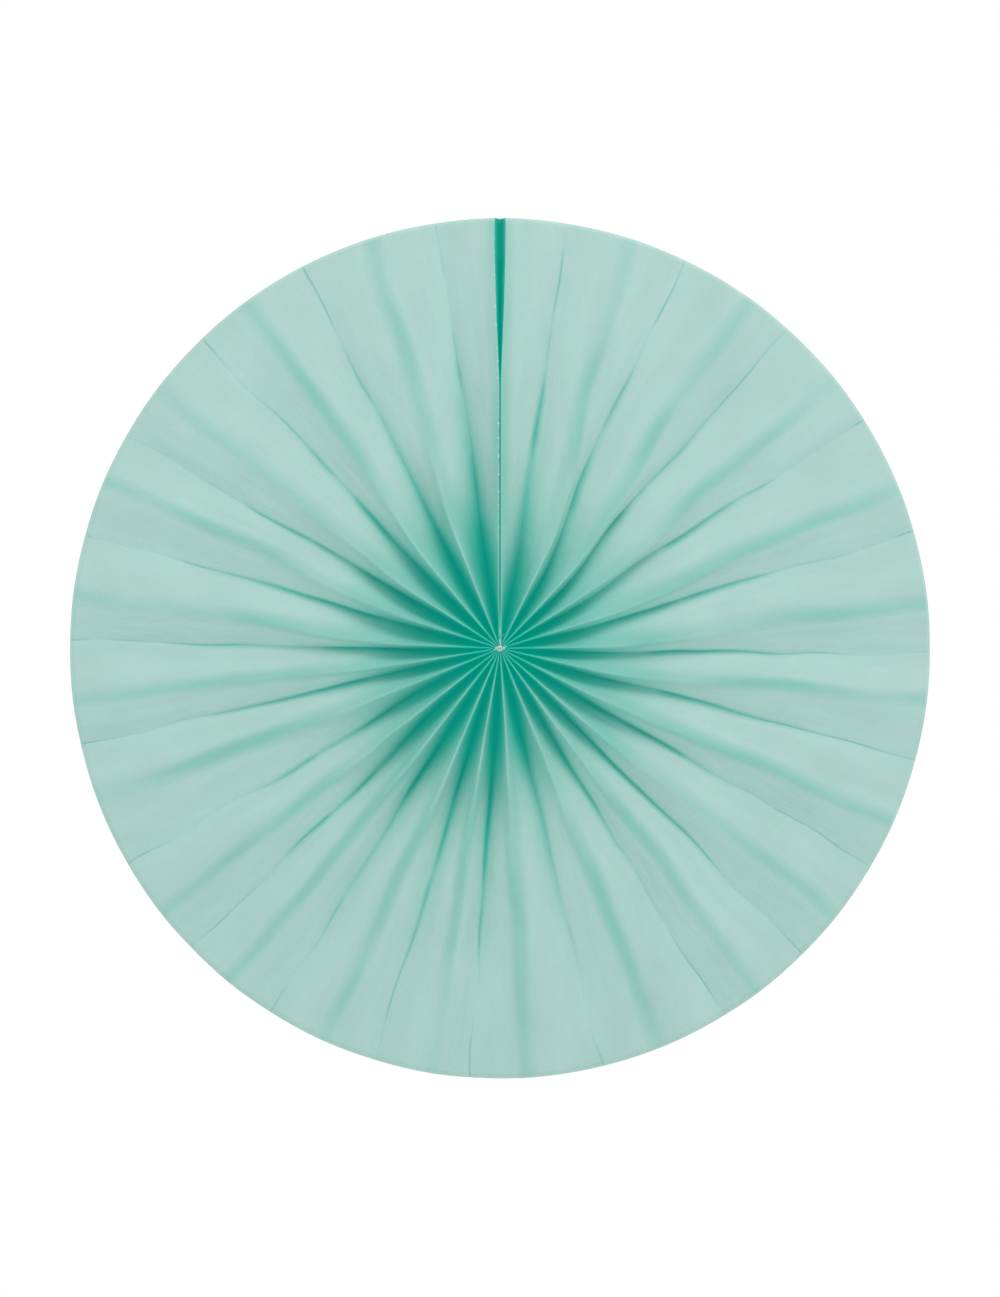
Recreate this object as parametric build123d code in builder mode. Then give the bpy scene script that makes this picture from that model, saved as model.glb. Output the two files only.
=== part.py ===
# Paper fan rosette to hang on a wall: one accordion of thin paper, opened until its two ends meet.
#
# Frame: the fan's disc lies in the XZ plane with the hub at the origin. The front faces -Y, +Z is up and
# the seam, where the accordion's two ends meet, runs straight up from the hub. Angles are clockwise from
# the seam as seen from the front. Millimetres and degrees.
from build123d import *
from math import asin, cos, degrees, hypot, radians, sin, sqrt
import os

# Driving dimensions
fan_radius = 160
panel_width = 24            # paper between two creases, which is the fan's depth at the hub
paper_thickness = 0.2
hub_radius = 2              # where the gathered panels end
board_width = 22            # a little narrower than a panel, and the end panels are trimmed to it
board_thickness = 0.5
board_start = 8             # the boards stop short of the hub, so that the paper can be gathered there
tape_thickness = 0.15
tape_width = 9
tape_inset = 1              # from the boards' back edges
tape_end = 145              # the tape stops short of the hang hole
seam_free = 100             # from here out the boards' front edges curl apart
rim_gap = 2.8               # what the seam has opened to at the rim, in front
seam_rim_front = -4.8       # the paper draws the seam's front edge back to this height at the rim
thread_diameter = 0.7
thread_clearance = 0.05     # between the thread and the holes it is drawn through
thread_ring_radius = 5
knot_width = 4.6
knot_depth = 2.3
hang_hole_diameter = 3
hang_hole_inset = 9         # from the boards' rim end to the hole's centre
hang_hole_margin = 6        # from the boards' back edge to the hole's centre

# Opening of each pleat at the rim, from one valley fold to the next, clockwise from the seam.
# They differ as hand-opened pleats do: the stretched ones are nearly flat and the tight ones deeper.
first_valley = 8.6
pleat_openings = (
    16.8, 16.4, 16.3, 16.3, 16.2, 14.7, 15.0, 14.7, 14.6, 16.6, 16.7,
    14.7, 14.6, 14.7, 14.6, 16.0, 14.6, 14.6, 14.7, 16.5, 16.7, 16.8,
)
# The stiff seam pushes the folds beside it apart near the hub, by this angle at most.
hub_spread = 6
# A sharp fold seen end-on fills at most this share of the depth, because the paper is pressed thinner.
solid_share = 0.4

# Radii of the cuts that each panel is drawn through, from the hub to just past the rim, where it is
# trimmed round
trim_allowance = 1
stations = (hub_radius, 5, 10, 20, 35, 55, 78, seam_free, 120, tape_end, fan_radius + trim_allowance)

os.makedirs("parts", exist_ok=True)

# The seam: tape in the middle, a board on each side of it, and the accordion's end panels outside.
# The boards stay flat where the tape holds them, and only the part in front of it can curl.
board_inside = tape_thickness / 2
board_outside = board_inside + board_thickness
flap_outside = board_outside + paper_thickness
curl_width = board_width - tape_inset - tape_width


def seam_opening(height):
    """How far each board's front edge has curled away from the seam's middle at this height."""
    free_share = max(height - seam_free, 0) / (fan_radius - seam_free)
    return (rim_gap / 2 - board_inside) * free_share**2


def seam_front(height):
    """The seam's front edge, a straight line that is drawn back towards the rim."""
    hub_front = -panel_width / 2
    share = (height - hub_radius) / (fan_radius - hub_radius)
    return hub_front + (seam_rim_front - hub_front) * share


# Folds between the two edges of the seam, clockwise: valley, mountain, valley and so on
fold_angles = [first_valley]
for opening in pleat_openings:
    last_valley = fold_angles[-1]
    fold_angles += [last_valley + opening / 2, last_valley + opening]


def distance(start, end):
    return hypot(end[0] - start[0], end[1] - start[1])


def fold_place(fold_angle, radius):
    """A fold's place in plan, where it crosses a circle of this radius round the hub."""
    seam_wedge = degrees(asin(flap_outside / radius))
    spread = seam_wedge + hub_spread * (1 - radius / fan_radius) ** 2
    angle = radians(fold_angle + spread * cos(radians(fold_angle / 2)))
    return radius * sin(angle), radius * cos(angle)


def panel_depth(width_in_plan):
    """How far a panel falls across its width in plan, so that its slanted width is the paper's."""
    return sqrt(max(panel_width**2 - width_in_plan**2, 0))


def folds_at(radius):
    """Every fold at this radius as its plan x and z and its front and back heights.

    All valleys are level with each other. A mountain stands as high as its own two panels reach.
    """
    places = [fold_place(fold_angle, radius) for fold_angle in fold_angles]
    widths = [distance(start, end) for start, end in zip(places, places[1:])]
    mean_width = sum(widths) / len(widths)
    mean_depth = panel_depth(mean_width)
    back = mean_depth / 2
    # the sheet cut through along y: its thickness over the cosine of the panel's slope
    cut = paper_thickness * hypot(mean_width, mean_depth) / mean_width
    cut = min(cut, solid_share * mean_depth)

    folds = []
    for number, place in enumerate(places):
        if number % 2 == 0:
            front = back - cut
        else:
            front = back - panel_depth((widths[number - 1] + widths[number]) / 2)
        folds.append((place, front, front + cut))

    # the first and last folds start inside the end panels, so that they are one piece of paper
    seam_place = flap_outside - paper_thickness / 2 + seam_opening(radius)
    front = seam_front(radius)
    right_edge = ((seam_place, radius), front, front + cut)
    left_edge = ((-seam_place, radius), front, front + cut)
    return [right_edge] + folds + [left_edge]


def panel_section(start_fold, end_fold):
    """A panel's cut from one fold to the next: a thin slanted strip on an upright plane."""
    start, start_front, start_back = start_fold
    end, end_front, end_back = end_fold
    length = distance(start, end)
    along_x = (end[0] - start[0]) / length
    along_z = (end[1] - start[1]) / length
    upright = Plane((start[0], 0, start[1]), x_dir=(along_x, 0, along_z), z_dir=(-along_z, 0, along_x))
    with BuildSketch(upright) as section:
        with BuildLine():
            Polyline((0, start_front), (length, end_front), (length, end_back), (0, start_back), close=True)
        make_face()
    return section.sketch


def seam_section(height, side, inside, outside, curled):
    """Level cut of a board or an end panel: of its curled front or of the flat part behind that."""
    front = seam_front(height)
    bend = front + curl_width
    back = front + board_width
    opening = seam_opening(height)
    if curled:
        corners = [(inside + opening, front), (outside + opening, front), (outside, bend), (inside, bend)]
    else:
        corners = [(inside, bend), (outside, bend), (outside, back), (inside, back)]
    with BuildSketch(Plane.XY.offset(height)) as section:
        with BuildLine():
            Polyline([(side * x, y) for x, y in corners], close=True)
        make_face()
    return section.sketch


# Paper: the slanted panels from one side of the seam round to the other
rows = [folds_at(radius) for radius in stations]
panels = []
for number in range(len(rows[0]) - 1):
    with BuildPart() as panel:
        loft([panel_section(row[number], row[number + 1]) for row in rows], ruled=True)
    panels.append(panel.part)

# Its two end panels, glued flat against the outer faces of the boards
for side in (1, -1):
    with BuildPart() as end_panel:
        for curled in (True, False):
            loft(
                [seam_section(height, side, board_outside, flap_outside, curled) for height in stations],
                ruled=True,
            )
    panels.append(end_panel.part)

hang_hole_z = fan_radius - hang_hole_inset
hang_hole_y = seam_front(hang_hole_z) + board_width - hang_hole_margin
hang_hole_reach = 4 * flap_outside

with BuildPart() as pleated_paper:
    add(panels)
    # the rim, cut round
    Cylinder(fan_radius, 2 * panel_width, rotation=(90, 0, 0), mode=Mode.INTERSECT)
    # the hole near each panel's inner end, where the thread is drawn through
    with BuildSketch(Plane.XY):
        with Locations((thread_ring_radius, 0)):
            Circle(thread_diameter / 2 + thread_clearance)
    revolve(axis=Axis.Y, mode=Mode.SUBTRACT)
    with Locations(Pos(0, hang_hole_y, hang_hole_z) * Rot(0, 90, 0)):
        Cylinder(hang_hole_diameter / 2, hang_hole_reach, mode=Mode.SUBTRACT)

pleated_paper.part.label = "pleated_paper"
export_step(pleated_paper.part, "parts/pleated_paper.step")

# Boards: the stiff card that the end panels are glued to
board_stations = [board_start] + [radius for radius in stations if board_start < radius < fan_radius]
board_stations.append(fan_radius)
for side, name in ((1, "end_board_right"), (-1, "end_board_left")):
    with BuildPart() as board:
        for curled in (True, False):
            loft(
                [
                    seam_section(height, side, board_inside, board_outside, curled)
                    for height in board_stations
                ],
                ruled=True,
            )
        with Locations(Pos(0, hang_hole_y, hang_hole_z) * Rot(0, 90, 0)):
            Cylinder(hang_hole_diameter / 2, hang_hole_reach, mode=Mode.SUBTRACT)
    board.part.label = name
    export_step(board.part, f"parts/{name}.step")

# Tape: a straight strip along the boards' back edges, from their inner ends nearly to the hang hole
with BuildPart() as seam_tape:
    with BuildSketch(Plane.YZ):
        with BuildLine():
            Polyline(
                (seam_front(board_start) + curl_width, board_start),
                (seam_front(board_start) + curl_width + tape_width, board_start),
                (seam_front(tape_end) + curl_width + tape_width, tape_end),
                (seam_front(tape_end) + curl_width, tape_end),
                close=True,
            )
        make_face()
    extrude(amount=tape_thickness / 2, both=True)
seam_tape.part.label = "seam_tape"
export_step(seam_tape.part, "parts/seam_tape.step")

# Thread: a ring drawn through every panel. Its two ends, twisted together, come forward along the seam
# and down to the knot in front of the hub, which is a short bar with round ends.
knot_y = -(panel_width + knot_depth) / 2
knot_straight = knot_width - knot_depth
with BuildPart() as binding_thread:
    with BuildSketch(Plane.XY):
        with Locations((thread_ring_radius, 0)):
            Circle(thread_diameter / 2)
    revolve(axis=Axis.Y)
    with BuildSketch(Plane.XZ):
        with Locations((0, thread_ring_radius)):
            Circle(thread_diameter / 2)
    extrude(amount=-knot_y)
    with Locations((0, knot_y, thread_ring_radius)):
        Sphere(thread_diameter / 2)
    with BuildSketch(Plane.XY):
        with Locations((0, knot_y)):
            Circle(thread_diameter / 2)
    extrude(amount=thread_ring_radius)
    with BuildSketch(Plane.YZ):
        with Locations((knot_y, 0)):
            Circle(knot_depth / 2)
    extrude(amount=knot_straight / 2, both=True)
    with Locations((-knot_straight / 2, knot_y, 0), (knot_straight / 2, knot_y, 0)):
        Sphere(knot_depth / 2)
binding_thread.part.label = "binding_thread"
export_step(binding_thread.part, "parts/binding_thread.step")

print("valley folds", [round(angle, 1) for angle in fold_angles[::2]])
print("hang hole", round(hang_hole_y, 3), hang_hole_z)
print("wall across the hang hole", round(2 * flap_outside, 3))
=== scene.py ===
# %% [markdown]
# # A paper fan rosette
# One long accordion of thin mint paper is opened until its two ends meet, so its folds stand on edge at
# the hub and lie almost flat at the rim. Two card boards stiffen the ends, tape joins them along the
# seam, and a thread gathers all the panels at the hub. The fan hangs upright: +Z is up, along the seam,
# and the front faces -Y. All lengths are in metres and angles run clockwise from the seam.

# %% Load the frame
import bisect
import math
from functools import partial

import bmesh
import bpy
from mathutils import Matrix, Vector, noise


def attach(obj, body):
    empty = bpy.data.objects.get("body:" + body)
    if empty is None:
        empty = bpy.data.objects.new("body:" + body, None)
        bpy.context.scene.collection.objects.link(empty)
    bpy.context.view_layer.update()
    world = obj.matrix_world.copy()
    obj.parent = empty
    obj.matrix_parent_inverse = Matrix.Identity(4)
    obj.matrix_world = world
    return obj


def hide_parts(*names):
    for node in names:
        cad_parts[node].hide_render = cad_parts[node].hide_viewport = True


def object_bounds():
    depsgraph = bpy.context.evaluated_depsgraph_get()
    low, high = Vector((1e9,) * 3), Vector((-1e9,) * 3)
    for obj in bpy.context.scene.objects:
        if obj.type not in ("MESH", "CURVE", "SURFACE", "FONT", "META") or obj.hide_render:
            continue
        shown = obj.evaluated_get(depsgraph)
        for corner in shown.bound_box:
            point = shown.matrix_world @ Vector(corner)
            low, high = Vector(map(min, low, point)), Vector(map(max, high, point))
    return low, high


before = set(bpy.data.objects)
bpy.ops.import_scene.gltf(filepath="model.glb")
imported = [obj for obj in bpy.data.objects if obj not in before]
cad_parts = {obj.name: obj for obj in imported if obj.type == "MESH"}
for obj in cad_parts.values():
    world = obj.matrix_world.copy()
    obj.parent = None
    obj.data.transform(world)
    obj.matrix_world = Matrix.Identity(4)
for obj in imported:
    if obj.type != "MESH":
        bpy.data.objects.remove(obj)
cad_low, cad_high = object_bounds()
MM = 0.001
print("frame nodes:", sorted(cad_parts))
print("box of the solid model, mm:", [round(c / MM, 1) for c in (*cad_low, *cad_high)])

# %% [markdown]
# ## Camera
# The fan is seen square from the front. A long lens far away keeps the deep folds at the hub from
# spreading in perspective, and the lens is chosen so that the fan fills most of the picture's width.

# %% Camera
FAN_RADIUS = cad_high.x
FAN_SHARE = 0.86                 # of the picture's width
CAMERA_DISTANCE = 4
WIDTH_IN_VIEW = 2 * FAN_RADIUS / FAN_SHARE
IMAGE_SHAPE = 1000 / 1297

camera_data = bpy.data.cameras.new("camera")
camera_data.sensor_width = 36
camera_data.lens = camera_data.sensor_width * CAMERA_DISTANCE * IMAGE_SHAPE / WIDTH_IN_VIEW
camera = bpy.data.objects.new("camera", camera_data)
camera.location = (0, -CAMERA_DISTANCE, 0)
camera.rotation_euler = (math.radians(90), 0, 0)
bpy.context.scene.collection.objects.link(camera)
bpy.context.scene.camera = camera
print("lens, mm:", round(camera_data.lens, 1))

# %% [markdown]
# ## Light and floor
# Thin paper is shown by gentle changes of tone, so the light is a bright even room with one wide soft
# lamp high in front and a little to the right. Panels that lean up catch it and panels that lean down
# don't, and the deep folds at the hub fall into shade, which the paper's colour deepens further with
# painted shade. The camera sees a plain white room.

# %% Room light
ROOM_TINT = (0.93, 1, 0.99, 1)   # of the light that the room throws on the fan
ROOM_BRIGHTNESS = 0.555


def node_tree(owner):
    """An empty node tree on a world or a material."""
    owner.use_nodes = True
    owner.node_tree.nodes.clear()
    return owner.node_tree


world = bpy.data.worlds.new("white room")
bpy.context.scene.world = world
room = node_tree(world)
link = room.links.new
seen = room.nodes.new("ShaderNodeBackground")
seen.inputs["Color"].default_value = (1, 1, 1, 1)
lit = room.nodes.new("ShaderNodeBackground")
lit.inputs["Color"].default_value = ROOM_TINT
lit.inputs["Strength"].default_value = ROOM_BRIGHTNESS
rays = room.nodes.new("ShaderNodeLightPath")
choose = room.nodes.new("ShaderNodeMixShader")
output = room.nodes.new("ShaderNodeOutputWorld")
link(rays.outputs["Is Camera Ray"], choose.inputs[0])
link(lit.outputs[0], choose.inputs[1])
link(seen.outputs[0], choose.inputs[2])
link(choose.outputs[0], output.inputs["Surface"])
bpy.context.scene.view_settings.view_transform = "Standard"
print("room: lit at", ROOM_BRIGHTNESS, "and seen at", seen.inputs["Strength"].default_value)

# %% Soft lamp
LAMP_PLACE = Vector((0.25, -0.95, 1.25))
LAMP_SIZE = 0.8
LAMP_POWER = 9.8
LAMP_TINT = (1, 0.93, 0.93)

lamp_data = bpy.data.lights.new("key lamp", "AREA")
lamp_data.size = LAMP_SIZE
lamp_data.energy = LAMP_POWER
lamp_data.color = LAMP_TINT
lamp = bpy.data.objects.new("key lamp", lamp_data)
lamp.location = LAMP_PLACE
lamp.rotation_euler = (-LAMP_PLACE).to_track_quat("-Z", "Y").to_euler()
bpy.context.scene.collection.objects.link(lamp)
print("lamp from the hub, m:", round(LAMP_PLACE.length, 2))

# %% Floor
FLOOR_DROP = 0.17                # below the fan's rim
FLOOR_HEIGHT = cad_low.z - FLOOR_DROP
FLOOR_MIDDLE = (0, -0.9, FLOOR_HEIGHT)
FLOOR_RADIUS = 1.6

floor_mesh = bpy.data.meshes.new("floor")
shape = bmesh.new()
bmesh.ops.create_circle(shape, cap_ends=True, segments=96, radius=FLOOR_RADIUS)
bmesh.ops.translate(shape, verts=shape.verts, vec=FLOOR_MIDDLE)
shape.to_mesh(floor_mesh)
shape.free()
floor = bpy.data.objects.new("floor", floor_mesh)
bpy.context.scene.collection.objects.link(floor)
print("floor below the hub, mm:", round(-FLOOR_HEIGHT / MM))

# %% [markdown]
# ## Where the folds run
# Every fold starts at the hub and ends at the rim, valley and mountain in turn. They were opened by
# hand, so no two pleats are alike, and their angles are short lists. Near the hub the thick, stiff seam
# takes room at the top and pushes the folds beside it downwards, so each fold has an angle near the hub
# and another at the rim, and slides from one to the other where the paper spreads out.

# %% Fold angles
RIM_VALLEYS = (
    9.3, 25.5, 42, 58, 74.5, 90.7, 104.8, 120.3, 135.2, 149, 166.3, 184,
    196.8, 212, 225.5, 239.7, 257, 271, 285.2, 299.5, 316, 332.5, 351.5,
)
RIM_MOUNTAINS = (
    18.5, 36, 51.7, 68.5, 84, 97, 114, 128.5, 143, 158, 176.5,
    189, 204, 219, 232, 249.5, 263, 277, 293, 307, 324, 342.3,
)
HUB_MOUNTAINS = (
    26, 43, 57.6, 73, 89, 103, 117, 131, 144, 158, 176,
    190, 203, 218, 232, 248, 261, 272.5, 288, 303, 320, 338.5,
)
LEAN = 0.22                      # share of the room between two mountains that a valley leans by
KINK = 0.8                       # how many degrees each fold wanders from its smooth course
PAPER_WIDTH = 24 * MM            # of one panel, from fold to fold
HUB_RADIUS = 1.1 * MM
PAPER_THICKNESS = 0.12 * MM
SEAM_HALF = 0.675 * MM           # from the seam's middle to the paper glued on the outside of a board
SEAM_LIP = 0.36 * MM             # the paper's edges lean in over the boards, to this far from the middle
SEAM_PINCHED = 0.07 * MM         # they are pressed together near the hub, where the boards end
RIM_LIP = 0.64 * MM              # and stand up straight at the rim
BOARD_START = 8 * MM
SEAM_FREE = 98 * MM              # from here out the boards' front edges curl apart
SEAM_CURL = 1.5 * MM             # by this much at the rim
CURL_WIDTH = 10 * MM             # behind the front edges, where the boards touch in front of the tape
LIP_WIDTH = 0.9 * MM             # the boards start this far behind the paper's front edges
BOARD_WIDTH = 22 * MM
SEAM_HUB_FRONT = -12 * MM
SEAM_RIM_FRONT = -4.8 * MM
HANG_HOLE_Y = 10.79 * MM
HANG_HOLE_Z = 151 * MM
HANG_HOLE_RADIUS = 1.5 * MM
TEAR = 0.16 * MM                 # how far the torn left end of the sheet wanders
TEAR_STEP = 2.1 * MM             # and how far apart its bumps are


def weave(valleys, mountains):
    """One list of all folds in order: the seam, a valley, a mountain and so on back to the seam."""
    folds = [0.0]
    for number, valley in enumerate(valleys):
        folds.append(valley)
        folds.append(mountains[number] if number < len(mountains) else 360.0)
    return folds


def leaning_valley(before, after):
    """Angle of a valley at the hub. The pleats lean towards the seam, so on the right a valley lies just
    after the mountain before it, on the left just before the mountain after it, and low down halfway."""
    middle = math.radians(before + after) / 2
    return before + (after - before) * (0.5 - LEAN * math.sin(middle))


hub_ridges = (0.0, *HUB_MOUNTAINS, 360.0)
hub_valleys = [leaning_valley(before, after) for before, after in zip(hub_ridges, hub_ridges[1:])]
rim_folds = weave(RIM_VALLEYS, RIM_MOUNTAINS)
hub_folds = weave(hub_valleys, HUB_MOUNTAINS)
PANELS = len(rim_folds) - 1
print("panels:", PANELS, "pleats:", PANELS // 2)


def ease(low, high, value):
    """Smooth step from 0 below low to 1 above high."""
    share = min(max((value - low) / (high - low), 0), 1)
    return share * share * (3 - 2 * share)


def seam_curl(radius):
    """How far the boards' front edges and the paper on them have curled from the seam here."""
    free = max(radius - SEAM_FREE, 0) / (FAN_RADIUS - SEAM_FREE)
    return SEAM_CURL * math.sin(free * math.pi / 2)


def ragged_edge(radius):
    """The left end of the sheet was torn rather than cut, so its front edge wanders a little."""
    wander = noise.noise((radius / TEAR_STEP, 5.5, 2.2))
    return TEAR * wander * ease(0.2, 0.3, radius / FAN_RADIUS)


def seam_place(radius, back=0.0):
    """How far the paper lies from the seam's middle, at a radius and a distance behind its front edge."""
    lip = SEAM_PINCHED + (SEAM_LIP - SEAM_PINCHED) * ease(BOARD_START, 2 * BOARD_START, radius)
    lip += (RIM_LIP - SEAM_LIP) * ease(SEAM_FREE, FAN_RADIUS, radius)
    glued = lip + (SEAM_HALF - lip) * ease(0, LIP_WIDTH, back)
    return glued + seam_curl(radius) * max(1 - back / CURL_WIDTH, 0)


def seam_front(radius):
    """The seam's front edge: a straight line that is drawn back towards the rim."""
    share = radius / FAN_RADIUS
    return SEAM_HUB_FRONT + (SEAM_RIM_FRONT - SEAM_HUB_FRONT) * share


def fold_angle(number, radius):
    """Where fold `number` runs at this radius, in radians clockwise from the seam."""
    if number == 0:
        return math.asin(seam_place(radius) / radius)
    if number == PANELS:
        return 2 * math.pi - math.asin((seam_place(radius) + ragged_edge(radius)) / radius)
    share = radius / FAN_RADIUS
    settled = ease(0.12, 0.42, share) if number % 2 else ease(0.2, 0.66, share)
    degrees = hub_folds[number] + (rim_folds[number] - hub_folds[number]) * settled
    degrees += KINK * ease(0.1, 0.4, share) * noise.noise((number * 3.7, share * 7, 0.3))
    return math.radians(degrees)


# %% [markdown]
# ## How deep the folds stand
# The paper between two folds keeps its width of 24 mm everywhere. Near the hub the folds are almost on
# top of each other, so the panels must stand on edge, and by Pythagoras' rule their depth squared is
# the paper width squared less the room squared. Each pleat stays pinched like that up to its own reach.
# Beyond it the soft paper bows open and takes up the slack, so the folds are shallower than the rule.

# %% Where the pinch ends
PINCH_REACH = (                  # angle and share of the radius
    (0, 0.24), (12, 0.27), (30, 0.22), (50, 0.18), (75, 0.17), (98, 0.17), (118, 0.24), (140, 0.25),
    (160, 0.24), (182, 0.32), (203, 0.33), (225, 0.31), (245, 0.23), (265, 0.19), (285, 0.20),
    (305, 0.25), (325, 0.29), (343, 0.36), (360, 0.35),
)
REACH_ANGLES = [angle for angle, _ in PINCH_REACH]
CREST_REACH = (                  # how far out each mountain's crest keeps its painted highlight, from the seam clockwise
    0.38, 0.46, 0.15, 0.12, 0.10, 0.12, 0.16, 0.25, 0.30, 0.28, 0.22, 0.26,
    0.24, 0.27, 0.22, 0.20, 0.16, 0.20, 0.19, 0.22, 0.27, 0.27, 0.20, 0.38,
)
REACH_SPREAD = 0.09              # how much neighbouring pleats differ
OPEN_SLACK = 0.74                # share of the rule's depth that an open pleat loses
LEAST_DEPTH = 2.4 * MM


def pinch_reach(degrees, pleat):
    """Share of the radius to which this pleat stays pinched: the first list, a little uneven."""
    after = min(max(bisect.bisect_right(REACH_ANGLES, degrees), 1), len(PINCH_REACH) - 1)
    (start, near), (end, far) = PINCH_REACH[after - 1], PINCH_REACH[after]
    share = (degrees - start) / (end - start)
    return near + (far - near) * share + REACH_SPREAD * noise.noise((pleat * 2.9, 4.1, 0.5))


def panel_depth(room, share, reach):
    """How far a panel falls from its mountain to its valley when it has this much room in plan."""
    rule = math.sqrt(max(PAPER_WIDTH**2 - room**2, 0) + LEAST_DEPTH**2)
    return rule * (1 - OPEN_SLACK * ease(0.25 * reach, 1.7 * reach, share))


def fold_row(radius):
    """All folds at one radius: their angles, the panels' room in plan and the folds' heights."""
    share = radius / FAN_RADIUS
    angles = [fold_angle(number, radius) for number in range(PANELS + 1)]
    rooms = [radius * (after - before) for before, after in zip(angles, angles[1:])]
    depths = []
    for number, room in enumerate(rooms):
        reach = pinch_reach(math.degrees(angles[number] + angles[number + 1]) / 2, (number + 1) // 2)
        depths.append(panel_depth(room, share, reach))
    heights = [seam_front(radius)]
    for number in range(1, PANELS):
        side = 1 if number % 2 else -1
        heights.append(side * (depths[number - 1] + depths[number]) / 4)
    heights.append(seam_front(radius))
    return angles, rooms, heights


for share in (0.02, 0.1, 0.3, 0.6, 1.0):
    angles, rooms, heights = fold_row(share * FAN_RADIUS)
    lowest = PANELS // 2
    sizes = [round(size / MM, 2) for size in (rooms[lowest], heights[lowest])]
    print("at", share, "of the radius, room and height of the lowest fold, mm:", *sizes)

# %% [markdown]
# ## The pleated sheet
# The sheet starts as a flat grid, as the real one starts as a flat strip. Columns run along the folds
# and rows run round the fan. Each panel has a few columns for its rounded mountain and a few for its
# flat side, so the mesh is fine where the paper bends and coarse where it doesn't. Folding is then one
# move of every vertex. A mountain is a tight roll at the hub and a broad soft arch at the rim.

# %% Sizes of the folded grid
ROLL_STEPS = 3                   # columns over one side of a mountain's roll
SIDE_STEPS = 6                   # columns from there down to the valley
PANEL_STEPS = ROLL_STEPS + SIDE_STEPS
END_STEPS = 11                   # columns across each end panel, which is glued to its board
ROWS = 92
COLUMNS = 2 * END_STEPS + PANELS * PANEL_STEPS
HUB_ROLL = 0.22 * MM             # half-width of a mountain's roll in plan
RIM_ROLL = 3.2 * MM
MOST_ROLL = 0.42                 # of the panel's room
ROW_CROWDING = 1.25              # rows lie closer together near the hub, where the folds are narrow
END_CROWDING = 1.5               # and the end panels' columns near their front edges
BOW = 1.1 * MM                   # how far the flat sides bow in or out
CRUMPLE = 0.5 * MM               # and how far they are crumpled, most of all where the pinch ends
print("flat grid:", COLUMNS, "columns and", ROWS, "rows")


def row_radius(row):
    return HUB_RADIUS + (FAN_RADIUS - HUB_RADIUS) * (row / ROWS) ** ROW_CROWDING


def roll_slope(roll, room, fall):
    """Slope of a panel's flat side, when its mountain is rolled over this half-width. The roll takes
    away a part of the fall that depends on the slope, so the slope is found in a few rounds."""
    slope = math.atan2(fall, room)
    for _ in range(12):
        slope = math.atan2(max(fall - roll * math.tan(slope / 2), 0), room - roll)
    return slope


def panel_point(step, room, fall, roll):
    """Distance from the mountain in plan and drop below it, at one of the panel's columns."""
    slope = roll_slope(roll, room, fall)
    if step <= ROLL_STEPS:
        turned = slope * step / ROLL_STEPS
        bend = roll / math.sin(slope)
        return bend * math.sin(turned), bend * (1 - math.cos(turned))
    along = (step - ROLL_STEPS) / SIDE_STEPS
    start = roll * math.tan(slope / 2)
    return roll + (room - roll) * along, start + (fall - start) * along


# %% [markdown]
# ## Painted shade and painted highlight along the folds
# Paper deep in a fold is lit by the paper round it, so it takes up more of the colour; this is painted as a
# teal shade. Crests that stand close together near the hub catch the light as pale lines, which are a
# painted highlight. Both follow the folding, so they are worked out with the folded grid and kept at its
# vertices as two attributes, which the paper's material reads later. An occlusion node could find the
# hollows too, but it renders slowly and can't make some crests paler than others.

# %% Painted fold shade and crest highlight along the folds
def painted_fold_shade(across, degrees, share, pleat):
    """How deep in the fold the paper lies, 0 to 1, which is how strongly it is painted with the teal shade
    of its neighbours' light. It is strong between the pinched crests and trails off along each valley. At
    the sides of the hub, where the light comes along the folds, it is more even."""
    along = share / pinch_reach(degrees, pleat)
    width = 0.4 + 1.5 * ease(0.5, 1.4, along)
    width *= 1 + 0.7 * noise.noise((pleat * 3.3, 1.7, share * 4))
    pinched = (1 - ease(0.5, 1.45, along)) * across**width
    trail = 0.5 * (1 - ease(0.9, 2.9, along)) * across**2.2
    level = math.sin(math.radians(degrees)) ** 2
    profile = max(pinched, trail) * (0.95 - 0.75 * level)
    profile *= 0.9 + 0.4 * noise.noise((pleat * 4.3, share * 5, 9.1))
    even = (0.22 + 0.4 * level) * (1 - ease(0, 0.5, share)) + 0.45 * (1 - ease(0.02, 0.15, share))
    even = min(even, 1)
    return min(even + (1 - even) * profile, 1)


def crest_highlight(fold, share):
    """How strongly the crest of the nearest mountain is painted pale at this share of the radius: a painted
    highlight.
    """
    reach = CREST_REACH[round(min(max(fold, 0), PANELS) / 2)]
    strength = min(0.3 + 2.4 * reach, 1) * (0.42 + 0.5 * ease(0.04, 0.16, share))
    strength *= 0.85 + 0.7 * noise.noise((round(fold / 2) * 2.7, share * 9, 3.3))
    return strength * (1 - ease(0.5 * reach, 1.25 * reach, share))


lowest_pleat = PANELS // 4
print("teal in the lowest valley, from the hub to the rim:")
print([round(painted_fold_shade(1, 180, share, lowest_pleat), 2) for share in (0.05, 0.2, 0.4, 0.8)])

# %% [markdown]
# ## Fold the sheet
# Each vertex of the flat grid is moved once, to its place on the folded sheet. The two end panels lie
# flat against the boards, and all others hang between their two folds.

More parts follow.
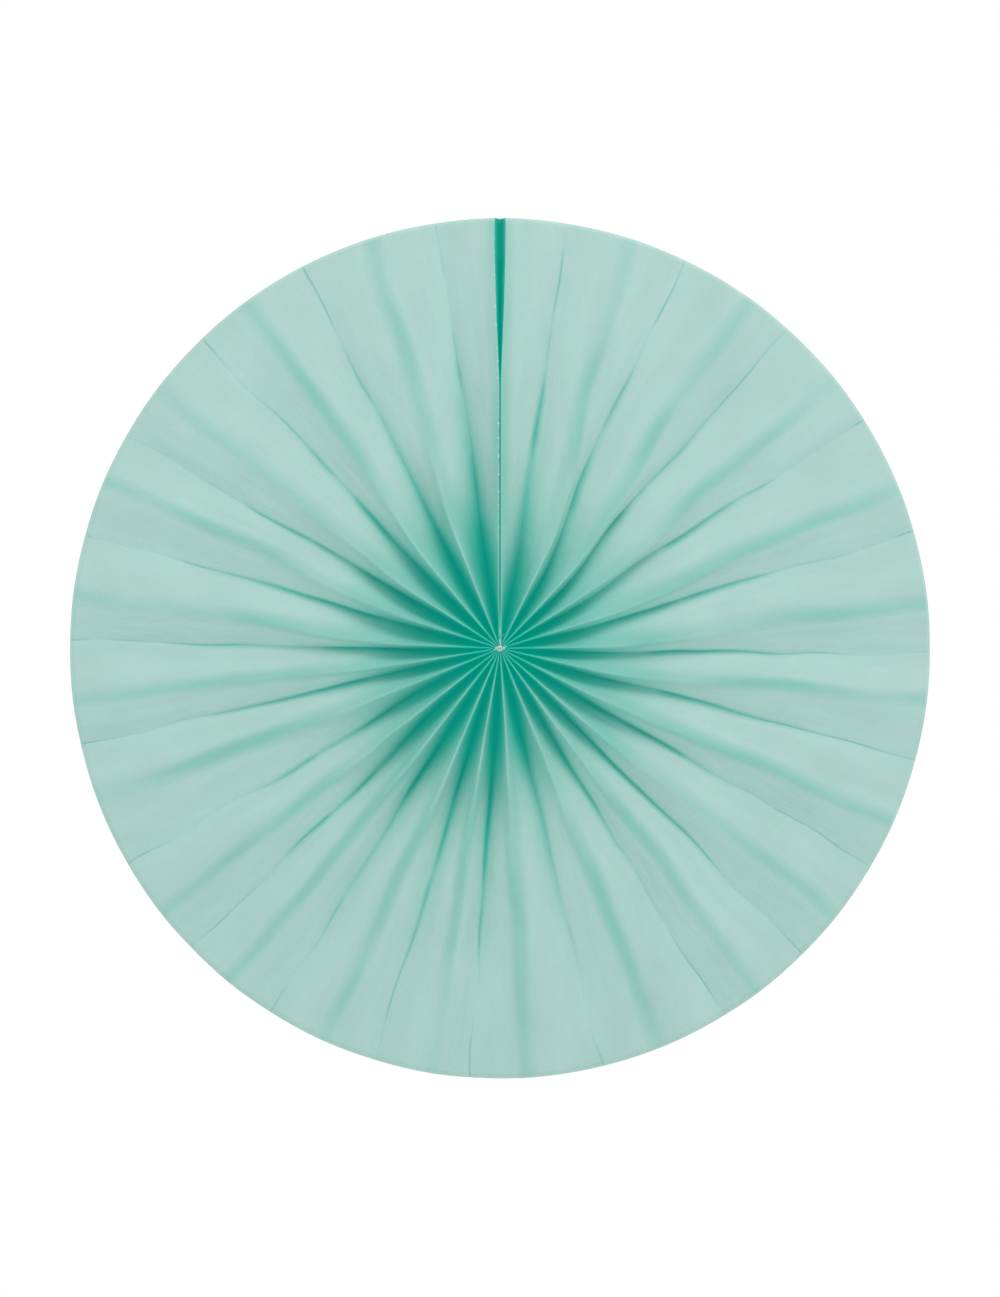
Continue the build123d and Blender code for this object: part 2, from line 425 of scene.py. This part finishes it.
# %% Fold the sheet
def strip_place(column, radius, row_data):
    """A column's angle and height, and its strip coordinate.

    The strip coordinate counts folds: 0 and 46 are the seam's edges, odd is a valley, even a mountain.
    """
    angles, rooms, heights = row_data
    inner = column - END_STEPS
    panel = min(inner // PANEL_STEPS, PANELS - 1)
    step = inner - panel * PANEL_STEPS
    mountain, valley = panel, panel + 1
    if panel % 2:
        mountain, valley = valley, mountain
        step = PANEL_STEPS - step
    share = radius / FAN_RADIUS
    room = rooms[panel]
    fall = heights[valley] - heights[mountain]
    broad = 0 if mountain in (0, PANELS) else ease(0.15, 0.85, share)
    roll = min(HUB_ROLL + (RIM_ROLL - HUB_ROLL) * broad, MOST_ROLL * room)
    away, drop = panel_point(step, room, fall, roll)
    across = away / room
    middle = 4 * across * (1 - across)
    bow = BOW * noise.noise((panel * 5.3, 0.7, share * 2.2)) * ease(0.2, 0.6, share)
    crumple = CRUMPLE * noise.noise((panel * 3.1 + across * 1.7, 8.2, share * 9))
    crumple *= ease(0.12, 0.3, share)
    crumple *= 1 - 0.75 * ease(0.4, 0.9, share)
    height = heights[mountain] + drop + (bow + crumple) * middle
    angle = angles[mountain] + (angles[valley] - angles[mountain]) * across
    return angle, height, mountain + (valley - mountain) * across


def folded(column, row):
    """Place, strip coordinate and painted fold shade of one grid vertex on the folded sheet."""
    radius = row_radius(row)
    share = radius / FAN_RADIUS
    beyond = max(END_STEPS - column, column - (COLUMNS - END_STEPS), 0)
    if beyond:
        right_end = column < END_STEPS
        side, edge, degrees = (1, 0, 0) if right_end else (-1, PANELS, 360)
        across = beyond / END_STEPS
        back = across**END_CROWDING * BOARD_WIDTH
        away = seam_place(radius, back)
        place = Vector((side * away, seam_front(radius) + back, math.sqrt(radius**2 - away**2)))
        return place, edge - side * across, painted_fold_shade(across, degrees, share, edge // 2)
    angle, height, fold = strip_place(column, radius, rows_data[row])
    across = 1 - abs(1 - fold % 2)
    depth = painted_fold_shade(across, math.degrees(angle), share, (int(fold) + 1) // 2)
    return Vector((radius * math.sin(angle), height, radius * math.cos(angle))), fold, depth


rows_data = [fold_row(row_radius(row)) for row in range(ROWS + 1)]
sheet_mesh = bpy.data.meshes.new("pleated sheet")
shape = bmesh.new()
bmesh.ops.create_grid(shape, x_segments=COLUMNS, y_segments=ROWS, size=1)
strip_map = shape.loops.layers.uv.new("strip")
teal = shape.verts.layers.float.new("painted_fold_shade")
crest_highlight_layer = shape.verts.layers.float.new("crest_highlight")
grid_cell = {}
for vertex in shape.verts:
    grid_cell[vertex] = (round((vertex.co.x + 1) / 2 * COLUMNS), round((vertex.co.y + 1) / 2 * ROWS))
on_strip = {}
for vertex, (column, row) in grid_cell.items():
    vertex.co, fold, vertex[teal] = folded(column, row)
    on_strip[vertex] = (fold, row_radius(row) / FAN_RADIUS)
    vertex[crest_highlight_layer] = crest_highlight(fold, row_radius(row) / FAN_RADIUS)
for face in shape.faces:
    face.smooth = True
    for corner in face.loops:
        corner[strip_map].uv = on_strip[corner.vert]
for edge in shape.edges:
    first, second = (grid_cell[vertex][0] - END_STEPS for vertex in edge.verts)
    inside = 0 <= first <= PANELS * PANEL_STEPS
    along_a_valley = first == second and inside and first % (2 * PANEL_STEPS) == PANEL_STEPS
    along_the_seam = first == second and first in (0, PANELS * PANEL_STEPS)
    edge.smooth = not (along_a_valley or along_the_seam)


def punch_hole(bm, centre, radius):
    """Open a round hole across X by taking out the vertex nearest to its centre."""
    middle = min(bm.verts, key=lambda vertex: (vertex.co - centre).length)
    ring = {vertex for face in middle.link_faces for vertex in face.verts if vertex is not middle}
    for vertex in ring:
        turn = math.atan2(vertex.co.z - middle.co.z, vertex.co.y - middle.co.y)
        vertex.co.y = centre.y + radius * math.cos(turn)
        vertex.co.z = centre.z + radius * math.sin(turn)
    bmesh.ops.delete(bm, geom=[middle], context="VERTS")


for side in (1, -1):
    punch_hole(shape, Vector((side * SEAM_HALF, HANG_HOLE_Y, HANG_HOLE_Z)), HANG_HOLE_RADIUS)
bmesh.ops.recalc_face_normals(shape, faces=shape.faces)
shape.to_mesh(sheet_mesh)
shape.free()
print("sheet:", len(sheet_mesh.vertices), "vertices,", len(sheet_mesh.polygons), "faces")

sheet = bpy.data.objects.new("pleated_sheet", sheet_mesh)
bpy.context.scene.collection.objects.link(sheet)
thickness = sheet.modifiers.new("paper thickness", "SOLIDIFY")
thickness.thickness = PAPER_THICKNESS
thickness.offset = 0
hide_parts("pleated_paper")
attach(sheet, "root")

# %% [markdown]
# ## Shared paper surface
# Paper and card are felts of short fibres. Both show a faint cloudiness against the light and a very
# fine roughness, so one node group makes both and each material sets its own amounts. A few helpers
# come first, because every material is built from the same handful of steps.

# %% Node helpers
def new_node(tree, kind, **settings):
    """A node with its settings and inputs. An input that is given a socket is linked to it."""
    node = tree.nodes.new(kind)
    inputs = settings.pop("inputs", {})
    for name, value in settings.items():
        setattr(node, name, value)
    for name, value in inputs.items():
        if isinstance(value, bpy.types.NodeSocket):
            tree.links.new(value, node.inputs[name])
        else:
            node.inputs[name].default_value = value
    return node


def math_node(tree, operation, first, second=0.0):
    return new_node(tree, "ShaderNodeMath", operation=operation, inputs={0: first, 1: second}).outputs[0]


def product(tree, first, *others):
    for other in others:
        first = math_node(tree, "MULTIPLY", first, other)
    return first


def smooth_range(tree, value, start, end, low=0.0, high=1.0):
    """Smooth change from low to high while the value goes from start to end."""
    node = new_node(tree, "ShaderNodeMapRange", interpolation_type="SMOOTHSTEP")
    tree.links.new(value, node.inputs["Value"])
    for name, number in zip(("From Min", "From Max", "To Min", "To Max"), (start, end, low, high)):
        node.inputs[name].default_value = number
    return node.outputs[0]


def mix_colour(tree, factor, first, second, blend="MIX"):
    node = new_node(tree, "ShaderNodeMix", data_type="RGBA", blend_type=blend)
    for socket, value in zip((node.inputs[0], node.inputs[6], node.inputs[7]), (factor, first, second)):
        if isinstance(value, bpy.types.NodeSocket):
            tree.links.new(value, socket)
        else:
            socket.default_value = value
    return node.outputs[2]


def noise_value(tree, vector, scale, detail=2.0):
    node = new_node(tree, "ShaderNodeTexNoise", inputs={"Vector": vector, "Scale": scale, "Detail": detail})
    return node.outputs["Fac"]


def scaled(tree, vector, factors):
    node = new_node(tree, "ShaderNodeVectorMath", operation="MULTIPLY", inputs={0: vector, 1: factors})
    return node.outputs[0]


def combined(tree, **parts):
    """A vector from its x, y and z, each of them 0 unless it is given."""
    inputs = {"XYZ".index(name.upper()): value for name, value in parts.items()}
    return new_node(tree, "ShaderNodeCombineXYZ", inputs=inputs).outputs[0]


def grey(tree, tone):
    return new_node(tree, "ShaderNodeCombineColor", inputs={0: tone, 1: tone, 2: tone}).outputs[0]


def object_place(tree):
    return new_node(tree, "ShaderNodeTexCoord").outputs["Object"]


def surface(tree, **inputs):
    """End the tree in a Principled surface. An underscore stands for a space in an input's name."""
    inputs = {name.replace("_", " "): value for name, value in inputs.items()}
    shader = new_node(tree, "ShaderNodeBsdfPrincipled", inputs=inputs)
    new_node(tree, "ShaderNodeOutputMaterial", inputs={"Surface": shader.outputs[0]})


# %% Felt of paper fibres
def felt_group():
    """Cloudiness around 1 and a fine height, for anything made of paper fibres."""
    group = bpy.data.node_groups.new("paper felt", "ShaderNodeTree")
    group.interface.new_socket("Cloudiness", in_out="INPUT", socket_type="NodeSocketFloat")
    group.interface.new_socket("Tone", in_out="OUTPUT", socket_type="NodeSocketFloat")
    group.interface.new_socket("Height", in_out="OUTPUT", socket_type="NodeSocketFloat")
    given = group.nodes.new("NodeGroupInput").outputs
    result = group.nodes.new("NodeGroupOutput").inputs
    place = object_place(group)
    clouds = product(group, noise_value(group, place, 45, 3), 0.7)
    flecks = product(group, noise_value(group, place, 700, 2), 0.3)
    around_zero = math_node(group, "SUBTRACT", math_node(group, "ADD", clouds, flecks), 0.5)
    swing = product(group, around_zero, given["Cloudiness"])
    group.links.new(math_node(group, "ADD", swing, 1), result["Tone"])
    group.links.new(noise_value(group, place, 2200, 3), result["Height"])
    return group


FELT = felt_group()


def new_material(name):
    """A material and its empty tree."""
    material = bpy.data.materials.new(name)
    return material, node_tree(material)


def felt(tree, cloudiness):
    """Tone and height of the felt, with this much cloudiness."""
    group = new_node(tree, "ShaderNodeGroup", node_tree=FELT)
    group.inputs["Cloudiness"].default_value = cloudiness
    return group.outputs["Tone"], group.outputs["Height"]


def toned(tree, colour, tone):
    return mix_colour(tree, 1.0, colour, grey(tree, tone), "MULTIPLY")


def bump(tree, height, distance, strength=1.0):
    inputs = {"Height": height, "Distance": distance, "Strength": strength}
    return new_node(tree, "ShaderNodeBump", inputs=inputs).outputs[0]


print("felt group:", len(FELT.nodes), "nodes")

# %% [markdown]
# ## Pale floor
# The floor is matt white and takes the fan's soft shadow. Further out it fades into an evenly bright
# white, by a mix of two shaders that follows the distance, so that no edge shows against the white room.

# %% Pale floor material
FLOOR_CLOUDINESS = 0.05
FADE_START = 0.15
FADE_END = 0.65


def pale_floor():
    material, tree = new_material("pale floor")
    flat = scaled(tree, object_place(tree), (1, 1, 0))
    length = new_node(tree, "ShaderNodeVectorMath", operation="LENGTH", inputs={0: flat}).outputs["Value"]
    tone, _ = felt(tree, FLOOR_CLOUDINESS)
    inputs = {"Base Color": grey(tree, tone), "Roughness": 0.8}
    painted = new_node(tree, "ShaderNodeBsdfPrincipled", inputs=inputs).outputs[0]
    bright = new_node(tree, "ShaderNodeEmission", inputs={"Strength": 1.0}).outputs[0]
    away = smooth_range(tree, length, FADE_START, FADE_END)
    both = new_node(tree, "ShaderNodeMixShader", inputs={0: away, 1: painted, 2: bright})
    new_node(tree, "ShaderNodeOutputMaterial", inputs={"Surface": both.outputs[0]})
    return material


floor_mesh.materials.append(pale_floor())
print("floor fades to white", FADE_START, "to", FADE_END, "m from the fan")

# %% [markdown]
# ## Mint paper
# Thin dyed paper, matt and slightly translucent. Where the folds are close together the light bounces
# from mint to mint, and comes through the sheet from behind, so the hollows are a deep clean teal and
# not grey; this teal is painted shade, mixed into the colour towards the hub and deep in the folds. The
# pale crests near the hub are a painted highlight, the creases further out show as soft bands of painted
# shade at the mountains and as thin lines of painted shade in the valleys, and the cut rim is a shade
# lighter. A translucent shader turns the hollows grey and renders slowly, so the soaked light is painted
# as a weak glow that follows the painted fold shade. The creases follow the strip map, whose first number
# counts the folds from the seam round to the seam, with odd numbers at valleys and even ones at
# mountains, and whose second is the share of the radius.

# %% Mint paper colours and sizes
MINT = (0.468, 0.598, 0.562, 1)
HALF_SHADE_TEAL = (0.19, 0.455, 0.39, 1)
FOLD_SHADE_TEAL = (0.003, 0.36, 0.27, 1)
CREST_HIGHLIGHT_MINT = (0.27, 0.53, 0.46, 1)
RIM_MINT = (0.62, 0.80, 0.74, 1)
BAND_SHADE_TEAL = (0.14, 0.44, 0.365, 1)
LINE_SHADE_TEAL = (0.08, 0.36, 0.29, 1)
TORN_MINT = (0.76, 0.90, 0.86, 1)
PAINTED_SOAKED_LIGHT = (0, 0.095, 0.08, 1)   # painted light: what shines through the open sheet from behind
PAINTED_SOAKED_TEAL = (0, 0.17, 0.14, 1)     # and painted light through the gathered paper at the hub
ROOM_AT_RIM = 2 * math.pi * FAN_RADIUS / PANELS
BAND_STRENGTH = 0.58             # of the soft bands of painted shade along the mountains
LINE_STRENGTH = 0.5              # of the thin lines of painted shade in the valleys
TEAR_FREQUENCY = 95              # of the flecks along the torn edge
PAPER_CLOUDINESS = 0.16
WRINKLE_DEPTH = 0.6 * MM
FIBRE_SHARE = 0.06               # of the wrinkles' depth


# %% Where on the folded strip
def strip_parts(tree):
    """Strip map, fold number, share of the radius and distances from the mountain and the valley."""
    strip = new_node(tree, "ShaderNodeUVMap", uv_map="strip").outputs[0]
    parts = new_node(tree, "ShaderNodeSeparateXYZ", inputs={0: strip})
    fold, share = parts.outputs[0], parts.outputs[1]
    across = math_node(tree, "PINGPONG", fold, 1)
    room = product(tree, share, ROOM_AT_RIM)
    from_mountain = product(tree, across, room)
    from_valley = math_node(tree, "SUBTRACT", room, from_mountain)
    return strip, fold, share, across, from_mountain, from_valley


def attribute(tree, name):
    return new_node(tree, "ShaderNodeAttribute", attribute_name=name).outputs["Fac"]


print("room of a panel at the rim, mm:", round(ROOM_AT_RIM / MM, 1))


# %% Creases of the mint paper
def valley_crease_shade(tree, fold, share, from_valley):
    """Painted shade in each valley: a deep streak along its inner part and a thin dark line along its outer
    part.
    """
    number = math_node(tree, "FLOOR", product(tree, fold, 0.5))
    along = combined(tree, x=product(tree, number, 5.1), y=share, z=7.0)
    uneven = smooth_range(tree, noise_value(tree, along, 4.3, 2), 0.38, 0.62)
    streak = product(
        tree,
        smooth_range(tree, from_valley, 0.2 * MM, 1.9 * MM, 1, 0),
        smooth_range(tree, share, 0.12, 0.3),
        smooth_range(tree, share, 0.36, 0.86, 1, 0),
        smooth_range(tree, uneven, 0, 1, 0.22, 0.7),
    )
    line = product(
        tree,
        smooth_range(tree, from_valley, 0.1 * MM, 0.6 * MM, 1, 0),
        smooth_range(tree, share, 0.2, 0.35),
        uneven,
        LINE_STRENGTH,
    )
    return streak, line


def mountain_band_shade(tree, fold, share, from_mountain):
    """A soft band of painted shade along the outer part of each mountain."""
    number = math_node(tree, "ROUND", product(tree, fold, 0.5))
    along = combined(tree, x=product(tree, number, 3.7), y=share)
    uneven = smooth_range(tree, noise_value(tree, along, 3.1, 1), 0.3, 0.6, 0.42, 1)
    return product(
        tree,
        smooth_range(tree, from_mountain, 0.3 * MM, 4.6 * MM, 1, 0),
        smooth_range(tree, share, 0.2, 0.36),
        smooth_range(tree, share, 0.7, 1, 1, 0.6),
        uneven,
        BAND_STRENGTH,
    )


def torn_flecks(tree, fold, share, from_mountain):
    """Pale flecks of torn fibre on the left edge of the seam, in the last tenth of the last panel."""
    along = combined(tree, y=product(tree, share, TEAR_FREQUENCY))
    return product(
        tree,
        smooth_range(tree, from_mountain, 0.15 * MM, 0.6 * MM, 1, 0),
        smooth_range(tree, fold, PANELS - 0.1, PANELS - 0.09),
        smooth_range(tree, share, 0.2, 0.34),
        smooth_range(tree, share, 0.7, 0.95, 1, 0.3),
        smooth_range(tree, noise_value(tree, along, 1.0, 3), 0.53, 0.66, 0, 0.85),
    )


# %% Mint paper material
def mint_paper():
    material, tree = new_material("mint paper")
    strip, fold, share, across, from_mountain, from_valley = strip_parts(tree)
    fold_shade_here = attribute(tree, "painted_fold_shade")
    # mask of the painted highlight on the crests near the hub
    crest = product(
        tree,
        smooth_range(tree, from_mountain, 0.03 * MM, 0.2 * MM, 1, 0),
        smooth_range(tree, across, 0.16, 0.4, 1, 0),
        attribute(tree, "crest_highlight"),
    )
    streak, line = valley_crease_shade(tree, fold, share, from_valley)
    band = mountain_band_shade(tree, fold, share, from_mountain)

    colour = MINT
    for factor, layer in (
        # painted shade: the paper darkens towards the hub, where the folds gather
        (smooth_range(tree, share, 0.0, 0.5, 0.65, 0), HALF_SHADE_TEAL),
        # painted shade deep in the folds, from the fold shade attribute
        (smooth_range(tree, fold_shade_here, 0, 0.55), HALF_SHADE_TEAL),
        (smooth_range(tree, fold_shade_here, 0.35, 0.95), FOLD_SHADE_TEAL),
        # painted shade: dark streaks along the valleys near the hub
        (streak, FOLD_SHADE_TEAL),
        # painted shade: soft bands along the mountains
        (band, BAND_SHADE_TEAL),
        # painted shade: thin dark lines along the outer valleys
        (line, LINE_SHADE_TEAL),
        # painted highlight: the crests near the hub turn pale
        (crest, CREST_HIGHLIGHT_MINT),
        (smooth_range(tree, share, 0.992, 0.997, 0, 0.5), RIM_MINT),
        (torn_flecks(tree, fold, share, from_mountain), TORN_MINT),
    ):
        colour = mix_colour(tree, factor, colour, layer)
    tone, fibre = felt(tree, PAPER_CLOUDINESS)
    long_clouds = noise_value(tree, scaled(tree, strip, (2.2, 3.0, 1.0)), 1.0, 3)
    tone = product(tree, tone, smooth_range(tree, long_clouds, 0.25, 0.75, 0.965, 1.035))

    # painted light: the paper glows more towards the hub and in the hollows, for light through the sheet
    gathered = smooth_range(tree, share, 0.08, 0.48, 0.45, 0)
    hollow = math_node(tree, "MAXIMUM", smooth_range(tree, fold_shade_here, 0, 1), gathered)
    hollow = product(tree, hollow, math_node(tree, "SUBTRACT", 1, crest))
    painted_glow = mix_colour(tree, hollow, PAINTED_SOAKED_LIGHT, PAINTED_SOAKED_TEAL)

    wrinkles = noise_value(tree, scaled(tree, strip, (5.0, 16.0, 1.0)), 1.0, 3)
    height = math_node(tree, "ADD", wrinkles, product(tree, fibre, FIBRE_SHARE))
    surface(
        tree, Base_Color=toned(tree, colour, tone), Roughness=0.9, Specular_IOR_Level=0.2,
        Emission_Color=painted_glow, Emission_Strength=1.0, Normal=bump(tree, height, WRINKLE_DEPTH, 0.6),
    )
    print("mint paper:", len(tree.nodes), "nodes")
    return material


sheet_mesh.materials.append(mint_paper())

# %% [markdown]
# ## Card boards and tape
# The boards are dyed card in the same mint. They were cut by hand, the left one less neatly, so their
# front edges are a little ragged, and the deep shade they lie in within the slit is painted into their
# colour, with a painted glow of light soaked through the paper. Each is a flat grid bent along its front
# part, with its thickness added to both sides, because card is one sheet of even thickness.
# The boards touch along the bend, in front of the tape, and above the tape's end. The tape between them
# is the solid model's own plain strip and only gets its finish here.

# %% Boards
BOARD_THICKNESS = 0.5 * MM
BOARD_MIDDLE = 0.325 * MM        # from the seam's middle to the middle of a board
PRESSED = 0.07 * MM              # how far each board moves in where no tape keeps the two apart
BOARD_RIM = FAN_RADIUS - 0.02 * MM
RAGGED_STEP = 2.3 * MM           # how far apart the ragged bits are
TAPE_END = 145 * MM
BOARD_COLUMNS = 11
BOARD_ROWS = 90


def board(side, name, node, ragged):
    """One board, whose front edge lies just behind the paper's and comes forward in ragged bits."""
    mesh = bpy.data.meshes.new(name)
    bm = bmesh.new()
    bmesh.ops.create_grid(bm, x_segments=BOARD_COLUMNS, y_segments=BOARD_ROWS, size=1)
    face_map = bm.loops.layers.uv.new("board")
    on_board = {}
    for vertex in bm.verts:
        across, along = (vertex.co.x + 1) / 2, (vertex.co.y + 1) / 2
        height = BOARD_START + (BOARD_RIM - BOARD_START) * along
        back = BOARD_WIDTH * across
        curl = seam_curl(height) * max(1 - back / CURL_WIDTH, 0)
        touching = 1 if abs(back - CURL_WIDTH) < MM else ease(TAPE_END, TAPE_END + 2 * MM, height)
        recess = 0
        if across == 0:
            recess = LIP_WIDTH - ragged * max(noise.noise((height / RAGGED_STEP, side * 3.3, 0.4)), 0)
        away = BOARD_MIDDLE + curl - PRESSED * touching
        vertex.co = (side * away, seam_front(height) + back + recess, height)
        on_board[vertex] = (back / MM, height / FAN_RADIUS)
    for face in bm.faces:
        for corner in face.loops:
            corner[face_map].uv = on_board[corner.vert]
    punch_hole(bm, Vector((side * BOARD_MIDDLE, HANG_HOLE_Y, HANG_HOLE_Z)), HANG_HOLE_RADIUS)
    bmesh.ops.recalc_face_normals(bm, faces=bm.faces)
    bm.to_mesh(mesh)
    bm.free()
    piece = bpy.data.objects.new(name, mesh)
    bpy.context.scene.collection.objects.link(piece)
    thickness = piece.modifiers.new("card thickness", "SOLIDIFY")
    thickness.thickness = BOARD_THICKNESS
    thickness.offset = 0
    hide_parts(node)
    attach(piece, "root")
    return piece


# %% Finishes of the card and the tape
SLIT_SHADE_TEAL = (0.01, 0.34, 0.27, 1)
SLIT_GLOW = (0, 0.16, 0.13, 1)   # painted light soaked through the paper into the slit
CARD_GLOW = (0, 0.03, 0.025, 1)  # and painted light soaked into the card elsewhere
SLIT_FADE = (10, 13)             # mm behind a board's front edge, where the slit's painted shade ends
CARD_CLOUDINESS = 0.4
CARD_FIBRE = 0.05 * MM
# off-white tape tinted mint, as clear tape takes on the boards' colour, and darkened: painted shade of the
# slit it lies in
TAPE_SHADED_MINT = (0.60, 0.66, 0.60, 1)
TAPE_CLOUDINESS = 0.5
TAPE_FIBRE = 0.02 * MM


def card():
    """Card in the mint of the sheet, with painted shade where the boards face each other in the slit, and a
    painted glow.
    """
    material, tree = new_material("mint card")
    place = new_node(tree, "ShaderNodeUVMap", uv_map="board").outputs[0]
    behind = new_node(tree, "ShaderNodeSeparateXYZ", inputs={0: place}).outputs[0]
    tone, fibre = felt(tree, CARD_CLOUDINESS)
    in_slit = smooth_range(tree, behind, *SLIT_FADE, 1, 0)
    colour = toned(tree, mix_colour(tree, in_slit, MINT, SLIT_SHADE_TEAL), tone)
    painted_glow = mix_colour(tree, in_slit, CARD_GLOW, SLIT_GLOW)
    surface(
        tree, Base_Color=colour, Roughness=0.85, Normal=bump(tree, fibre, CARD_FIBRE),
        Emission_Color=painted_glow, Emission_Strength=1.0,
    )
    return material


def tape():
    material, tree = new_material("off-white tape")
    tone, fibre = felt(tree, TAPE_CLOUDINESS)
    rough = smooth_range(tree, tone, 0.9, 1.1, 0.35, 0.55)
    colour = toned(tree, TAPE_SHADED_MINT, tone)
    surface(tree, Base_Color=colour, Roughness=rough, Normal=bump(tree, fibre, TAPE_FIBRE))
    return material


def finish_node(name, material):
    """Give a node of the solid model its material."""
    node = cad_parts[name]
    if node.data.materials:
        node.data.materials[0] = material
    else:
        node.data.materials.append(material)


# %% Make the boards and finish the tape
card_material = card()
for piece in (
    board(1, "right_board", "end_board_right", 0.2 * MM),
    board(-1, "left_board", "end_board_left", 0.8 * MM),
):
    piece.data.materials.append(card_material)
    print(piece.name, "faces:", len(piece.data.polygons))
finish_node("seam_tape", tape())

# %% [markdown]
# ## Binding thread
# A pale two-ply cotton thread is drawn through all the panels near the hub. Its two ends, twisted
# together, come forward along the seam and are tied in a small untidy knot with two short tails. A
# smooth round cord would look like wire at this size, so each ply is a tube that winds round the
# thread's middle line. The middle lines are short formulas, and the tubes are made by a bevelled curve
# that is turned into one mesh.

# %% The thread's middle lines
THREAD_RADIUS = 0.30 * MM
PLY_RADIUS = 0.16 * MM
RING_RADIUS = 5 * MM
KNOT_Y = -13.15 * MM
LEG_FRONT = KNOT_Y + 0.2 * MM    # the leg, the part from the ring to the knot, ends in the knot's back
LEG_WAVE = 0.12 * MM
LEG_CORNER = 0.6                 # how round the corner is: 1 is a quarter oval, 0 would be square
KNOT_HALF_WIDTH = 0.62 * MM      # scale of the trefoil sideways
KNOT_HALF_HEIGHT = 0.24 * MM     # upright
KNOT_HALF_DEPTH = 0.30 * MM      # and forwards
KNOT_SAG = 0.05 * MM
TAIL_START = 0.9 * MM            # from the knot's middle sideways
TAIL_REACH = 1.15 * MM
TAIL_RISE = 0.1 * MM             # above the knot's middle, where both tails start
TAIL_LIFT = 0.65 * MM            # from there the right tail ends higher and the left one lower
TAIL_FRONT = 0.35 * MM           # in front of the knot's middle, where they start


def ring_line(share):
    turn = share * 2 * math.pi
    return Vector((RING_RADIUS * math.sin(turn), 0, RING_RADIUS * math.cos(turn)))


def leg_line(share):
    """From the ring forward along the seam and, round a soft corner, down to the knot."""
    swing = math.pi / 2 * ease(0.0, 1.0, share)
    forward = LEG_FRONT * math.sin(swing) ** LEG_CORNER
    upward = RING_RADIUS * math.cos(swing) ** LEG_CORNER
    return Vector((LEG_WAVE * math.sin(share * 9), forward, upward))


def knot_line(share):
    """A loose overhand knot: a flattened trefoil."""
    turn = share * 2 * math.pi
    return Vector((
        KNOT_HALF_WIDTH * (math.sin(turn) + 2 * math.sin(2 * turn)),
        KNOT_Y - KNOT_HALF_DEPTH * math.sin(3 * turn),
        KNOT_HALF_HEIGHT * (math.cos(turn) - 2 * math.cos(2 * turn)) - KNOT_SAG,
    ))


def tail_line(side, share):
    sideways = side * (TAIL_START + TAIL_REACH * share)
    upward = TAIL_RISE + side * TAIL_LIFT * share * share
    return Vector((sideways, KNOT_Y - TAIL_FRONT * (1 - share), upward))


# %% Two plies as tubes
def ply(line, points, twists, phase, closed):
    """One ply that winds round a middle line, as the points of its tube."""
    places = []
    for number in range(points):
        share = number / (points if closed else points - 1)
        middle = line(share)
        ahead = line(share + 0.001) - line(share - 0.001)
        across = ahead.orthogonal().normalized()
        upward = ahead.normalized().cross(across)
        turn = share * twists * 2 * math.pi + phase
        offset = (THREAD_RADIUS - PLY_RADIUS) * (across * math.cos(turn) + upward * math.sin(turn))
        places.append(middle + offset)
    return places


def add_ply(curve, line, points, twists, phase, closed):
    places = ply(line, points, twists, phase, closed)
    spline = curve.splines.new("POLY")
    spline.points.add(len(places) - 1)
    for point, place in zip(spline.points, places):
        point.co = (*place, 1)
    spline.use_cyclic_u = closed


thread_curve = bpy.data.curves.new("thread plies", "CURVE")
thread_curve.dimensions = "3D"
thread_curve.bevel_depth = PLY_RADIUS
thread_curve.bevel_resolution = 2
thread_curve.use_fill_caps = True
for phase in (0, math.pi):
    add_ply(thread_curve, ring_line, 240, 24, phase, True)
    add_ply(thread_curve, leg_line, 120, 14, phase, False)
    add_ply(thread_curve, knot_line, 150, 12, phase, True)
    for side in (1, -1):
        add_ply(thread_curve, partial(tail_line, side), 24, 2, phase, False)
thread_lines = bpy.data.objects.new("thread plies", thread_curve)
thread_mesh = bpy.data.meshes.new_from_object(thread_lines)
bpy.data.objects.remove(thread_lines)
for face in thread_mesh.polygons:
    face.use_smooth = True
thread = bpy.data.objects.new("tied_thread", thread_mesh)
bpy.context.scene.collection.objects.link(thread)
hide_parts("binding_thread")
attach(thread, "root")
print("thread:", len(thread_mesh.polygons), "faces")

# %% [markdown]
# ## Cotton
# Soft, matt and slightly fluffy, with a painted highlight where a fibre catches the light and painted
# shade of mint in between. One fine noise on Object coordinates sets both the colour and the height, so
# that they agree.

# %% Cotton thread material
COTTON_SHADE = (0.34, 0.60, 0.54, 1)
COTTON_HIGHLIGHT = (0.62, 0.82, 0.77, 1)
FLUFF_DEPTH = 0.05 * MM


def cotton():
    material, tree = new_material("pale cotton thread")
    fluff = noise_value(tree, object_place(tree), 3500, 3)
    colour = mix_colour(tree, fluff, COTTON_SHADE, COTTON_HIGHLIGHT)
    normal = bump(tree, fluff, FLUFF_DEPTH)
    surface(tree, Base_Color=colour, Roughness=0.9, Normal=normal, Sheen_Weight=0.3)
    return material


thread_mesh.materials.append(cotton())
